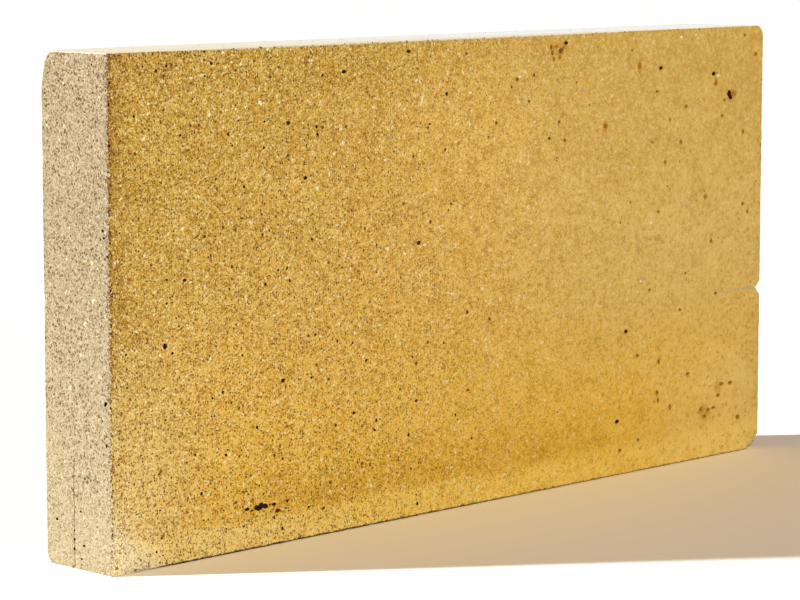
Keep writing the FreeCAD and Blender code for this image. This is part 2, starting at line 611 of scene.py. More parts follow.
# Middling pores of the front bed, a little over half a millimetre across at the near end: their mean size
# in pixels, and the pixel of each
MIDDLING_SIZE = 2.7
MIDDLING_PORES = (
    (322.7, 74.9), (724.4, 99.7), (722.4, 115.4), (745.2, 34.9), (755.9, 53.8), (743.1, 131.4),
    (619.8, 450.2), (412.6, 356.8), (416.3, 363.4), (427.9, 342.1), (444.1, 342.8), (400.1, 389.1),
    (455.4, 414.8), (471.6, 438.2), (362.1, 425.9), (376.5, 420.6), (374.6, 429.9), (354.0, 412.9),
    (336.0, 425.4), (362.1, 463.3), (362.1, 467.1), (370.2, 464.8), (411.0, 468.8), (408.7, 434.8),
    (357.0, 483.8), (352.3, 497.8), (308.7, 507.0), (323.6, 508.0), (417.3, 503.5), (308.7, 335.7),
    (315.3, 334.8), (337.4, 341.2), (352.6, 342.8), (366.1, 360.4), (328.7, 379.1), (316.6, 364.7),
    (311.5, 377.6), (155.9, 71.0), (163.4, 76.2), (166.3, 66.1), (171.4, 64.9), (204.6, 60.0),
    (211.5, 63.4), (235.8, 70.6), (223.7, 75.7), (254.1, 61.0), (270.3, 77.0), (278.6, 67.2),
    (133.8, 116.5), (117.0, 134.4), (142.1, 131.8), (135.5, 154.4), (161.2, 182.9), (192.5, 98.9),
    (190.6, 125.5), (198.9, 125.2), (180.1, 135.4), (228.2, 134.4), (264.5, 121.6), (288.1, 155.4),
    (263.9, 147.8), (216.1, 179.0), (217.1, 189.0), (244.1, 186.7), (317.6, 134.3), (316.6, 126.6),
    (322.7, 127.3), (307.9, 135.2), (346.2, 126.3), (428.2, 127.6), (496.4, 122.9), (488.5, 137.1),
    (445.4, 149.5), (413.5, 156.3), (446.7, 93.8), (466.5, 53.6), (534.2, 75.1), (517.2, 79.4),
    (529.1, 101.3), (559.1, 121.7), (549.5, 138.4), (565.1, 140.3), (657.3, 91.4), (686.2, 106.4),
    (670.0, 119.5), (681.1, 141.8), (665.2, 162.0), (151.4, 264.9), (166.7, 279.9), (166.7, 303.9),
    (211.0, 255.7), (232.0, 266.5), (235.6, 229.9), (242.6, 218.4), (276.0, 216.8), (296.8, 237.8),
    (278.3, 270.1), (287.1, 268.2), (265.4, 284.4), (289.7, 280.6), (204.6, 236.6), (364.8, 228.7),
    (376.5, 245.1), (430.4, 221.8), (403.6, 203.9), (451.2, 203.9), (467.3, 312.0), (489.7, 319.0),
    (172.4, 353.4), (126.1, 355.1), (126.8, 369.6), (242.5, 355.1), (145.3, 387.2), (127.4, 387.8),
    (212.6, 398.4), (222.8, 392.3), (239.3, 407.9), (257.3, 427.4), (226.3, 455.2), (280.2, 446.1),
    (274.5, 455.2), (282.8, 458.6), (134.4, 484.5), (195.4, 454.8), (188.3, 498.1), (201.7, 493.6),
    (236.2, 502.3), (287.5, 501.0), (274.4, 517.9), (282.7, 528.1), (244.1, 526.5), (156.8, 552.0),
    (637.2, 355.5), (658.3, 361.5), (687.4, 373.6), (656.8, 392.5), (657.8, 400.2), (669.5, 406.5),
    (638.3, 439.7), (658.3, 211.5), (711.0, 240.6), (742.9, 203.6), (747.3, 211.3), (649.7, 289.7),
    (679.7, 309.5),
)

# Small pores of the front bed, which only just show: the same
SMALL_SIZE = 2.0
SMALL_PORES = (
    (204.8, 76.0), (135.3, 169.8), (223.5, 94.2), (232.3, 145.6), (306.4, 145.1), (430.1, 124.1),
    (394.1, 151.4), (394.4, 69.5), (511.7, 87.0), (589.7, 104.8), (652.7, 142.4), (232.0, 278.9),
    (223.1, 227.2), (249.0, 217.7), (262.0, 214.2), (278.2, 224.7), (423.1, 213.8), (448.6, 210.0),
    (312.1, 239.1), (230.4, 392.7), (231.4, 402.5), (159.3, 474.2), (372.4, 467.8), (355.1, 486.6),
    (457.8, 419.7), (685.7, 273.1), (630.6, 201.9),
)

# The front bed's other marks: tinted pores, pale grains, scratches and chips
OTHER_MARKS = (
    Mark(416.3, 400.8, 3.6, 3.2, Tone.RUST, 0.4),
    Mark(468.1, 390.0, 3.4, 3.0, Tone.UMBER, 0.4),
    Mark(330.4, 482.5, 3.4, 3.2, Tone.RUST, 0.5),
    Mark(262.6, 234.6, 2.8, 2.8, Tone.RUST, 0.4),
    Mark(162.1, 538.0, 2.8, 2.8, Tone.RUST, 0.4),
    Mark(716.1, 82.4, 3.2, 6.0, Tone.BROWN, 0.4),
    Mark(605.6, 125.9, 3.6, 5.6, Tone.BROWN, 0.3),
    Mark(640.1, 66.0, 3.4, 7.6, Tone.BROWN, 0.3),
    Mark(705.2, 196.6, 3.4, 3.4, Tone.BROWN, 0.3),
    Mark(196.6, 236.6, 9.0, 1.7, Tone.UMBER, 0.3, 25),
    Mark(160.4, 472.0, 4.6, 1.6, Tone.UMBER, 0.3, 60),
    Mark(551.2, 47.2, 2.8, 5.2, Tone.UMBER, 0.35, 10),
    Mark(552.6, 52.8, 2.6, 5.0, Tone.UMBER, 0.3, 14),
    Mark(554.2, 59.0, 2.4, 4.4, Tone.BROWN, 0.3, 6),
    Mark(556.6, 46.4, 4.4, 2.4, Tone.BROWN, 0.3),
    Mark(561.0, 50.8, 4.8, 6.0, Tone.UMBER, 0.3, 20),
    Mark(563.6, 47.6, 3.0, 3.6, Tone.BROWN, 0.25),
    Mark(560.2, 57.0, 2.6, 4.0, Tone.BROWN, 0.25),
    Mark(700.8, 409.4, 3.4, 3.6, Tone.BROWN, 0.3, 30),
    Mark(707.8, 409.2, 3.2, 3.8, Tone.BROWN, 0.3, 20),
    Mark(713.4, 407.4, 3.4, 2.6, Tone.BROWN, 0.25),
    Mark(704.6, 416.1, 3.4, 2.4, Tone.BROWN, 0.3, -15),
    Mark(721.2, 383.6, 4.2, 3.6, Tone.BROWN, 0.25),
    Mark(729.8, 382.4, 3.4, 3.4, Tone.BROWN, 0.3),
    Mark(718.0, 395.1, 3.6, 3.2, Tone.BROWN, 0.3),
    Mark(737.1, 416.7, 3.2, 4.0, Tone.BROWN, 0.3),
    Mark(424.7, 244.8, 3.4, 2.6, Tone.CREAM, 0.12),
    Mark(718.4, 75.5, 4.0, 3.0, Tone.CREAM, 0.12),
    Mark(190.3, 282.5, 3.6, 2.6, Tone.CREAM, 0.12),
    Mark(519.8, 76.8, 2.8, 2.4, Tone.CREAM, 0.1),
    Mark(458.6, 421.0, 3.0, 2.4, Tone.CREAM, 0.1),
    Mark(117.2, 93.6, 2.0, 12.6, Tone.DUST, 0.1, -24),
    Mark(144.9, 82.0, 7.4, 2.0, Tone.DUST, 0.1, 40),
    Mark(422.0, 100.0, 2.0, 16.0, Tone.CREAM, 0.1, -18),
    Mark(432.0, 87.3, 17.0, 1.9, Tone.DUST, 0.1, 38),
    Mark(684.8, 202.0, 1.9, 11.0, Tone.DUST, 0.1, 0),
    Mark(470.3, 92.5, 3.4, 2.6, Tone.CREAM, 0.1),
    Mark(250.5, 403.0, 6.0, 2.0, Tone.CREAM, 0.1, 20),
    Mark(148.5, 103.8, 3.4, 3.0, Tone.CREAM, 0.1),
    Mark(225.6, 67.4, 3.2, 2.8, Tone.CREAM, 0.1),
    Mark(215.4, 135.0, 3.2, 2.8, Tone.CREAM, 0.1),
    Mark(373.3, 107.2, 3.0, 2.8, Tone.CREAM, 0.1),
    Mark(385.2, 160.0, 3.0, 2.8, Tone.CREAM, 0.1),
    Mark(144.6, 255.7, 3.2, 3.0, Tone.CREAM, 0.1),
    Mark(206.5, 276.7, 3.0, 3.0, Tone.CREAM, 0.1),
    Mark(534.4, 122.0, 3.0, 2.8, Tone.CREAM, 0.1),
    Mark(640.8, 281.4, 3.0, 2.8, Tone.CREAM, 0.1),
    Mark(651.0, 222.7, 3.0, 2.8, Tone.CREAM, 0.1),
    Mark(149.1, 550.8, 5.0, 3.4, Tone.CREAM, 0.15),
    Mark(208.4, 494.6, 3.2, 2.8, Tone.CREAM, 0.1),
    Mark(696.3, 34.7, 3.4, 2.6, Tone.CREAM, 0.1),
    Mark(681.6, 37.2, 3.4, 2.6, Tone.CREAM, 0.1),
    Mark(199.5, 247.0, 5.0, 4.4, Tone.ASH, 0.1),
    Mark(389.9, 138.0, 4.4, 4.0, Tone.ASH, 0.1),
    Mark(583.5, 89.5, 5.0, 4.0, Tone.ASH, 0.1),
    Mark(688.0, 109.0, 3.6, 3.0, Tone.DUST, 0.1),
    Mark(717.0, 132.0, 3.6, 3.0, Tone.DUST, 0.1),
    Mark(685.0, 140.0, 3.6, 3.0, Tone.DUST, 0.1),
    Mark(744.0, 288.8, 26.0, 2.8, Tone.DUST, 0.12, -5),
    Mark(724.5, 291.6, 15.0, 2.2, Tone.DUST, 0.12, -7),
    Mark(750.0, 286.4, 8.0, 2.0, Tone.DUST, 0.15, -5),
    Mark(715.6, 293.0, 2.6, 2.4, Tone.UMBER, 0.3),
    Mark(110.9, 444.4, 2.2, 2.2, Tone.SOOT, 0.4),
    Mark(116.8, 568.8, 3.6, 3.2, Tone.BROWN, 0.3, 30),
    Mark(166.9, 563.2, 3.4, 3.0, Tone.BROWN, 0.3),
    Mark(135.6, 570.0, 3.4, 2.4, Tone.BROWN, 0.3, 15),
    Mark(162.6, 537.0, 2.8, 5.6, Tone.BROWN, 0.3, -30),
    Mark(160.8, 471.4, 2.4, 4.4, Tone.UMBER, 0.4, -35),
)

# Soft rusty blots of the front bed: pixel, and radius in millimetres
RUSTY_BLOTS = (
    (704.0, 411.5, 3.0), (718.0, 386.5, 2.4), (732.5, 95.5, 2.2), (558.0, 50.5, 2.2), (716.5, 83.0, 1.6),
    (605.5, 126.5, 1.8), (164.0, 470.0, 1.6),
)

# The photograph is soft beyond this pixel, and its pores there have a brown surround. A little further
# out they are brown themselves.
SOFT_FROM = 480.0
BROWN_FROM = SOFT_FROM + 80.0

# The pits of the end face
END_PITS = (
    Mark(57.0, 519.0, 2.6, 2.8, deep=0.5),
    Mark(84.0, 546.0, 2.6, 2.8, deep=0.5),
    Mark(81.6, 559.0, 2.4, 2.4, deep=0.5),
    Mark(102.6, 231.0, 2.6, 3.0, deep=0.6),
    Mark(103.8, 238.5, 2.4, 2.6, deep=0.6),
    Mark(73.8, 461.0, 1.6, 2.0, deep=0.4),
    Mark(74.4, 530.5, 1.8, 2.2, deep=0.4),
    Mark(74.6, 539.5, 2.2, 3.4, deep=0.6),
    Mark(74.4, 548.8, 2.4, 3.4, deep=0.7),
    Mark(73.6, 566.6, 3.2, 3.2, Tone.ASH, 0.4),
    Mark(106.6, 446.0, 2.0, 5.0, deep=0.5, turn=-24),
)

# How often each tone comes up, in a hundred scattered pores or in a hundred nicks of the arrises
SCATTERED_TONES = {Tone.SOOT: 30, Tone.UMBER: 34, Tone.RUST: 8, Tone.CREAM: 16, Tone.ASH: 12}
STAINED_NICKS = {Tone.SOOT: 26, Tone.UMBER: 34, Tone.CLAY: 40}
PLAIN_NICKS = {Tone.SOOT: 8, Tone.UMBER: 20, Tone.CLAY: 72}


def seen_dents() -> list[Dent]:
    """Gather the dents that the photograph shows.

    Returns:
        Those of the front bed, and then those of the cracked end.
    """
    marks = [*LARGE_PORES, *BURST, *OTHER_MARKS]
    chance = random.Random(4)
    for size, places in ((MIDDLING_SIZE, MIDDLING_PORES), (SMALL_SIZE, SMALL_PORES)):
        for across, down in places:
            wide, high = size * chance.uniform(0.65, 1.15), size * chance.uniform(0.85, 1.55)
            # The further off they are, the fewer of them are black
            tone = Tone.SOOT if chance.random() < 0.80 - across / 1000 else Tone.UMBER
            if across > BROWN_FROM:
                tone = Tone.BROWN
            marks.append(Mark(across, down, wide, high, tone, 0.5, chance.uniform(-35.0, 35.0)))
    dark = (Tone.SOOT, Tone.UMBER, Tone.BROWN)
    far = [mark for mark in marks if mark.across > SOFT_FROM and mark.tone in dark]
    for mark in far:
        tall = mark.high * chance.uniform(1.3, 2.1)
        shift = chance.uniform(-0.7, 0.7)
        halo = Mark(mark.across + shift, mark.down + 0.3, mark.wide * 1.35, tall, Tone.AMBER, 0.12)
        marks.insert(0, halo)
    dents = [mark.dent(Side.FRONT_BED) for mark in marks]
    return dents + [mark.dent(Side.CRACKED_END) for mark in END_PITS]


# Finishes


class Ground:
    """Where a point of the brick lies, in millimetres, and the noises that all of its clay shares.

    along, through and up are its place. sand and spare are two chance numbers of each grain of sand, slow,
    cloud and clump are noises from the broadest to the finest, and hue is a fourth for the colour.
    """

    half_length: float = 125.0
    half_thick: float = 12.5
    height: float = 125.0
    sand_across: float = 0.34
    speckle_near: float = 1.42
    speckle_far: float = 0.18

    def __init__(self, desk: Desk) -> None:
        """Lay the place and the noises out.

        Args:
            desk: the desk of the clay's material.
        """
        self.place = desk.millimetres()
        parts = desk.add("ShaderNodeSeparateXYZ", None, {0: self.place})
        self.along, self.through, self.up = (desk.number(parts, axis) for axis in range(3))
        self.slow = desk.noise(self.place, 24.0)
        self.cloud = desk.noise(self.place, 5.0, detail=3.0, rough=0.6)
        self.clump = desk.noise(self.place, 1.5, rough=0.6)
        self.hue = desk.noise(desk.shift(self.place, 40.0), 0.9, detail=1.0)
        grit = desk.cells(desk.shake(self.place, grain=0.5, far=0.25), self.sand_across)
        self.sand, self.spare = grit.first, grit.second
        # The speckle is strongest at the near end, and softer and coarser at the far one
        weaker = self.speckle_far - self.speckle_near
        self.sharp = self.along.rise(-140.0, 130.0) * weaker + self.speckle_near
        self.soft = self.along.rise(-80.0, 100.0)
        self.above = self.up.rise(self.height - 0.5, self.height - 0.1)
        # Stains along the near arris, and the bleached corner at its foot
        self.stained = (self.along + (self.cloud - 0.5) * 7.0).rise(-118.0, -124.0)
        self.corner = (self.along + self.up * 1.2 + (self.cloud - 0.5) * 12.0).rise(-100.0, -117.0)

    def on_bed(self) -> Number:
        """1 on the two beds and 0 on the narrow sides.

        Returns:
            The mask. It changes at the arris, with a ragged line.
        """
        ragged = (self.clump - 0.5) * 0.5
        edge = self.half_thick - 0.5
        beds = (abs(self.through) + ragged + (self.sand - 0.5) * 0.2).rise(edge, edge + 0.3)
        # The pale narrow colour spreads over the upper arrises, most of all in the middle: worn golden skin
        # and a painted highlight along the arris
        worn = self.along.rise(-125.0, -60.0) * self.along.rise(80.0, 20.0) * 0.36 + 0.10
        return beds * (self.up + ragged + worn).rise(self.height + 0.1, self.height - 0.1)

    def from_rim(self) -> Number:
        """The distance from the nearest end or from the top, roughly, for the rim's dark wash.

        Returns:
            The distance in millimetres.
        """
        spread = self.along.rise(0.0, 60.0) * self.up.rise(105.0, 75.0) * 22.0
        from_end = self.half_length - abs(self.along) + spread
        from_top = self.height - self.up + self.along.rise(-110.0, 0.0) * 8.0
        return from_end.lower(from_top) + (self.slow - 0.5) * 30.0

    def blot(self, across: float, down: float, radius: float) -> Number:
        """A soft round blot on the front bed.

        Args:
            across: the pixel of its middle, from the photograph's left edge.
            down: the pixel of its middle, from the top edge.
            radius: its radius in millimetres.

        Returns:
            The mask, 1 in the middle.
        """
        middle = EYE.meets(Side.FRONT_BED, across, down) / MM
        aside, above_it = self.along - middle.x, self.up - middle.z
        away = aside * aside + above_it * above_it + (self.clump - 0.5) * radius * 3.0
        return away.rise(radius * radius, 0.0) * self.through.rise(0.0, -1.0)


@dataclass(frozen=True)
class Fireclay:
    """Dry fired fireclay: golden on the two beds, paler on the narrow sides, speckled with grog."""

    name: str = "fireclay"
    bed: Colour = (0.722, 0.408, 0.065)
    rim: Colour = (0.500, 0.288, 0.034)
    # Painted light: the beds lighten towards their foot
    foot: Colour = (0.850, 0.474, 0.035)
    bed_dark: Colour = (0.225, 0.090, 0.005)
    bed_light: Colour = (0.930, 0.700, 0.250)
    stain: Colour = (0.400, 0.185, 0.014)
    # A paler band of clay at the foot, lightened further as painted bounce light from the floor
    bounce_lit_band: Colour = (0.955, 0.605, 0.095)
    band_near: Colour = (0.970, 0.670, 0.195)
    mild: Colour = (0.800, 0.545, 0.185)
    dulled: Colour = (0.667, 0.450, 0.135)
    smoked: Colour = (0.735, 0.392, 0.027)
    bleached: Colour = (0.900, 0.735, 0.440)
    amber: Colour = (0.660, 0.300, 0.030)
    straw: Colour = (0.740, 0.530, 0.170)
    rust: Colour = (0.480, 0.215, 0.012)
    narrow: Colour = (0.476, 0.366, 0.200)
    # Painted bounce light: the ends lighten towards their foot
    narrow_bounce_lit: Colour = (0.574, 0.454, 0.252)
    narrow_dark: Colour = (0.170, 0.105, 0.045)
    narrow_light: Colour = (0.840, 0.740, 0.530)
    narrow_warm: Colour = (0.610, 0.420, 0.200)
    # The cream top, lightened as painted light, and its near-white painted highlight
    upper: Colour = (0.985, 0.865, 0.600)
    top_highlight: Colour = (1.000, 0.985, 0.950)
    umber: Colour = (0.230, 0.085, 0.014)
    # Dark pits among the specks, and the painted contact shadow at the foot of the beds
    pinhole_and_contact_shadow: Colour = (0.045, 0.016, 0.008)
    grime: Colour = (0.120, 0.050, 0.016)
    grog: Colour = (0.900, 0.780, 0.460)
    ochre: Colour = (0.500, 0.220, 0.022)
    grog_across: float = 1.5
    speck_across: float = 0.75
    roughness: float = 0.92
    sheen: float = 0.2

    def make(self) -> bpy.types.Material:
        """Build the material.

        Returns:
            The fireclay.
        """
        desk = Desk(bpy.data.materials.new(self.name))
        ground = Ground(desk)
        on_bed = ground.on_bed()
        colour = desk.mix(on_bed, self.narrow_colour(desk, ground), self.bed_colour(desk, ground))
        colour, grains = self.lay_grains(desk, ground, colour)
        colour, specks = self.lay_specks(desk, ground, on_bed, colour)
        colour = self.lay_dirt_and_contact_shadow(desk, ground, on_bed, colour)
        height = ground.sand * 0.3 + ground.clump * 0.4 + grains * 0.15 - specks * 0.5
        return desk.fired(colour, height, self.roughness, self.sheen)

    def bed_colour(self, desk: Desk, ground: Ground) -> Socket:
        """The golden beds: washes of colour from the broadest to the smallest, with painted light towards the
        foot, and then fine sand.

        Args:
            desk: the material's desk.
            ground: the place and the noises.

        Returns:
            The colour.
        """
        along, up, soft, hue = ground.along, ground.up, ground.soft, ground.hue
        # Painted light: lighter towards the foot
        bed = desk.mix(up.rise(70.0, 10.0) * 0.8, self.bed, self.foot)
        bed = desk.mix(along.rise(40.0, -110.0) * up.rise(10.0, 110.0) * 0.8, bed, self.rim)
        bed = desk.mix(ground.from_rim().rise(34.0, 0.0) * 0.9, bed, self.rim)
        bed = desk.mix(along.rise(-85.0, -122.0) * up.rise(72.0, 15.0) * 0.85, bed, self.mild)
        bed = desk.mix(along.rise(-30.0, 80.0) * up.rise(15.0, 60.0) * 0.6, bed, self.dulled)
        bed = desk.mix(along.rise(0.0, 60.0) * up.rise(62.0, 100.0) * 0.38, bed, self.rim)
        bed = desk.mix(along.rise(60.0, 115.0) * up.rise(45.0, 20.0) * 0.14, bed, self.bleached)
        bed = desk.mix((hue - 0.56).slope(0.0, 0.16) * 0.6, bed, self.amber)
        bed = desk.mix((0.44 - hue).slope(0.0, 0.16) * 0.6, bed, self.straw)
        # A smoked line over the bright band at the foot, whose brightness is partly painted bounce light
        smoked = up.rise(24.0, 11.0) * up.rise(6.0, 9.0) * along.rise(-112.0, -60.0)
        bed = desk.mix(smoked * (1.0 - along.rise(10.0, 90.0) * 0.7), bed, self.smoked)
        # Painted bounce light from the floor, over a paler band of clay at the foot
        bounce_lit_band = desk.mix(along.rise(-30.0, -100.0), self.bounce_lit_band, self.band_near)
        low_down = (up + (ground.slow - 0.5) * 5.0 + ground.cloud).rise(soft * 3.0 + 9.5, 6.0)
        bed = desk.mix(low_down * (0.85 - soft * 0.35), bed, bounce_lit_band)
        bed = desk.mix(along.rise(50.0, 125.0) * up.rise(34.0, 8.0) * 0.09, bed, self.bleached)
        stains = ground.stained * (up.rise(45.0, 75.0) * 0.6 + up.rise(98.0, 116.0) * 0.4)
        bed = desk.mix(stains, bed, self.stain)
        bed = desk.mix(ground.corner * 0.9, bed, self.bleached)
        for across, down, radius in RUSTY_BLOTS:
            bed = desk.mix(ground.blot(across, down, radius) * 0.6, bed, self.rust)
        sand = (ground.sand - 0.5) * 0.95 * ground.sharp
        tone = sand + (ground.clump - 0.5) * (1.0 - soft * 0.3) + (ground.cloud - 0.5) * 0.6
        return desk.shade(tone, bed, self.bed_dark, self.bed_light)

    def narrow_colour(self, desk: Desk, ground: Ground) -> Socket:
        """The pale narrow sides, palest on top. Painted light: the ends lighten towards their foot, and the
        top runs to a painted highlight.

        Args:
            desk: the material's desk.
            ground: the place and the noises.

        Returns:
            The colour.
        """
        # Painted bounce light from the floor, towards the foot
        narrow = desk.mix(ground.up.rise(90.0, 5.0), self.narrow, self.narrow_bounce_lit)
        narrow = desk.mix((ground.hue - 0.56).slope(0.0, 0.2) * 0.4, narrow, self.narrow_warm)
        # Painted highlight: the top runs to near white towards its back edge and the far end
        farther = ground.along.rise(-110.0, 40.0) * 0.6 + 0.4
        pale = farther * ground.through.rise(-12.0, 2.0 - ground.soft * 8.0)
        narrow = desk.mix(ground.above, narrow, desk.mix(pale, self.upper, self.top_highlight))
        uneven = (ground.sand - 0.5) * 1.2 + (ground.clump - 0.5) * 0.35 + (ground.cloud - 0.5) * 0.2
        return desk.shade(uneven * (ground.above * -0.8 + 1.0), narrow, self.narrow_dark, self.narrow_light)

    def lay_grains(self, desk: Desk, ground: Ground, colour: Socket) -> tuple[Socket, Number]:
        """Lay the pale grog grains and the ochre ones, a millimetre or so across.

        Args:
            desk: the material's desk.
            ground: the place and the noises.
            colour: the colour below.

        Returns:
            The colour with the grains, and their height.
        """
        grains = desk.cells(desk.shake(ground.place, grain=0.8, far=0.9), self.grog_across)
        grain = (grains.near - grains.second * 0.34).slope(ground.soft * 0.3 + 0.20, 0.07)
        pale = grain * grains.first.slope(0.86, 0.88) * ground.sharp.lower(1.1) * 0.8
        colour = desk.mix(pale, colour, self.grog)
        colour = desk.mix(grain * grains.first.slope(0.24, 0.22) * 0.6, colour, self.ochre)
        return colour, grain * grains.second

    def lay_specks(
        self, desk: Desk, ground: Ground, on_bed: Number, colour: Socket
    ) -> tuple[Socket, Number]:
        """Lay the fine specks, light and dark. The dark ones crowd at the stains and along the upper rim.

        Args:
            desk: the material's desk.
            ground: the place and the noises.
            on_bed: where the beds are.
            colour: the colour below.

        Returns:
            The colour with the specks, and where the dark ones are.
        """
        along, up = ground.along, ground.up
        specks = desk.cells(desk.shake(ground.place, grain=0.5, far=0.4), self.speck_across)
        spot = (specks.near - specks.second * 0.20).slope(0.22, 0.13)
        spot = spot * ground.sharp.lower(1.0) * (ground.above * -0.8 + 1.0)
        spot = spot * (on_bed * 0.15 + 0.85) * (1.0 - ground.soft * 0.5)
        colour = desk.mix(spot * specks.first.slope(0.86, 0.88) * 0.7, colour, self.grog)
        top_corner = up.rise(119.0, 123.5) * along.rise(-92.0, -110.0) * on_bed
        upper_rim = up.rise(108.0, 125.0)
        on_narrow = (1.0 - on_bed) * up.rise(15.0, 60.0)
        crowd = ground.stained * 0.16 + (ground.slow - 0.5) * 0.4 + upper_rim * 0.14 + top_corner * 0.9
        crowd = crowd + on_bed * 0.26 + 0.18 + on_narrow * 0.12 - ground.corner * 0.34
        dark = spot * (crowd - specks.first).slope(0.0, 0.02)
        burnt = desk.mix(specks.third, self.umber, self.pinhole_and_contact_shadow)
        return desk.mix(dark * (specks.third * 0.3 + 0.7), colour, burnt), dark

    def lay_dirt_and_contact_shadow(self, desk: Desk, ground: Ground, on_bed: Number, colour: Socket) -> Socket:
        """Lay dark spots along the near arris, and a painted contact shadow: a dark line at the foot of the
        bed.

        Args:
            desk: the material's desk.
            ground: the place and the noises.
            on_bed: where the beds are.
            colour: the colour below.

        Returns:
            The colour with the dirt and the painted contact shadow.
        """
        along, up, ragged = ground.along, ground.up, ground.clump - 0.5
        from_end, from_face = along + ground.half_length, ground.through + ground.half_thick
        from_arris = from_end.higher(from_face * 0.7) + ragged * 1.2
        spotted = (up.rise(8.0, 70.0) * 0.28 + 0.14 - ground.spare).slope(0.0, 0.03)
        colour = desk.mix(from_arris.slope(1.0, 0.4) * spotted * 0.9, colour, self.grime)
        # Painted contact shadow: a dark line at the foot of the beds
        under = (up + ragged * 0.7).slope(0.62, 0.30) * along.rise(-122.0, -105.0)
        return desk.mix(under * on_bed * (1.0 - ground.soft * 0.4), colour, self.pinhole_and_contact_shadow)


@dataclass(frozen=True)
class DentWall:
    """The inside of a dent: one colour that a little noise makes uneven."""

    name: str
    colour: Colour
    other: Colour
    roughness: float = 0.95
    sheen: float = 0.1

    def make(self) -> bpy.types.Material:
        """Build the material.

        Returns:
            The material.
        """
        desk = Desk(bpy.data.materials.new(self.name))
        uneven = desk.noise(desk.millimetres(), 0.7)
        colour = desk.mix(uneven.rise(0.35, 0.65), self.colour, self.other)
        return desk.fired(colour, uneven, self.roughness, self.sheen)


DENT_WALLS = {
    # Painted shade: near-black walls for deep pores, dark nicks and the crack
    Tone.SOOT: DentWall("hollow_shade", (0.020, 0.012, 0.008), (0.060, 0.032, 0.015)),
    Tone.UMBER: DentWall("umber", (0.150, 0.075, 0.022), (0.250, 0.130, 0.035)),
    Tone.RUST: DentWall("rust", (0.120, 0.032, 0.014), (0.230, 0.075, 0.022)),
    Tone.CREAM: DentWall("cream", (0.840, 0.710, 0.440), (0.760, 0.610, 0.320)),
    Tone.ASH: DentWall("ash", (0.500, 0.390, 0.230), (0.380, 0.290, 0.160)),
    Tone.AMBER: DentWall("amber", (0.470, 0.220, 0.022), (0.560, 0.290, 0.040)),
    Tone.DUST: DentWall("dust", (0.620, 0.450, 0.190), (0.500, 0.370, 0.160)),
    Tone.BROWN: DentWall("brown", (0.420, 0.190, 0.014), (0.290, 0.120, 0.010)),
}


def make_finishes() -> dict[Tone, bpy.types.Material]:
    """Build the brick's materials.

    Returns:
        Each tone's material, in the order of the tones.
    """
    return {Tone.CLAY: Fireclay().make()} | {tone: wall.make() for tone, wall in DENT_WALLS.items()}


@dataclass(frozen=True)
class PaleFloor:
    """A white floor. The camera sees it white where it is lit and sandy in the brick's shadow."""

    name: str = "pale_floor"
    bounce: Colour = (0.86, 0.86, 0.86)
    lit: Colour = (0.98, 1.12, 1.15)
    shaded: Colour = (0.22, 0.09, 0.0)

    def make(self) -> bpy.types.Material:
        """Build the material.

        Returns:
            The material.
        """
        desk = Desk(bpy.data.materials.new(self.name))
        plain = desk.add("ShaderNodeBsdfDiffuse", None, {"Color": self.bounce})
        diffuse = desk.add("ShaderNodeBsdfDiffuse", None, {"Color": self.lit})
        glow = desk.add("ShaderNodeEmission", None, {"Color": self.shaded, "Strength": 1.0})
        both = desk.add("ShaderNodeAddShader", None, {0: diffuse.outputs[0], 1: glow.outputs[0]})
        inputs = {0: desk.seen(), 1: plain.outputs[0], 2: both.outputs[0]}
        return desk.finish(desk.add("ShaderNodeMixShader", None, inputs))


# The brick


@dataclass(frozen=True)
class Box:
    """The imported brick's box, by its lower corner and its upper one, in metres."""

    low: Vector
    high: Vector

    @property
    def middle(self) -> Vector:
        """Its middle."""
        return (self.low + self.high) / 2

    @property
    def size(self) -> Vector:
        """Its length, thickness and height."""
        return self.high - self.low

    def level(self, axis: int, way: int) -> float:
        """Where the side lies that looks one way along an axis."""
        return (self.low if way < 0 else self.high)[axis]

    def depth_below(self, side: Side, point: Vector) -> float:
        """How far a point lies below a side."""
        return abs(point[side.axis] - self.level(side.axis, side.way))


class Flaw(ABC):
    """A large flaw of the brick, which one rough tool cuts out. Its sizes are in millimetres."""

    tone: ClassVar[Tone] = Tone.CLAY

    @abstractmethod
    def tool(self, box: Box) -> bpy.types.Object:
        """Model its tool.

        Args:
            box: the brick's box.

        Returns:
            The tool, in its place.
        """


@dataclass(frozen=True)
class Facet(Flaw):
    """A rough plane that breaks a corner off.

    end, face and top name the corner. along, across and rise say how far from it the plane meets the three
    edges there, and its roughness hangs on seed.
    """

    end: int
    face: int
    top: bool
    along: float
    across: float
    rise: float
    seed: int
    cuts: int = 18
    span: float = 2.4
    rough: float = 0.28

    def tool(self, box: Box) -> bpy.types.Object:
        """Model the rough block whose lower face is the break.

        Args:
            box: the brick's box.

        Returns:
            The block.
        """
        tool = standing_cube()
        span = self.span * max(self.along, self.across, self.rise) * MM
        inwards = Vector((-self.end, -self.face, -1 if self.top else 1))
        reach = Vector((self.along, self.across, self.rise)) * MM
        outwards = Vector([-inwards[axis] / reach[axis] for axis in range(3)]).normalized()
        corner = Vector([box.level(axis, -inwards[axis]) for axis in range(3)])
        foot = corner + Vector([inwards[axis] * reach[axis] / 3 for axis in range(3)])
        with editing(tool, "VERT"):
            bpy.ops.mesh.select_all(action="SELECT")
            bpy.ops.mesh.subdivide(number_cuts=self.cuts)
            bpy.ops.transform.resize(value=(span, span, span / 2), center_override=(0, 0, 0))
            bpy.ops.transform.vertex_random(offset=self.rough * MM, seed=self.seed)
        tool.matrix_world = Matrix.Translation(foot) @ outwards.to_track_quat("Z", "Y").to_matrix().to_4x4()
        return tool


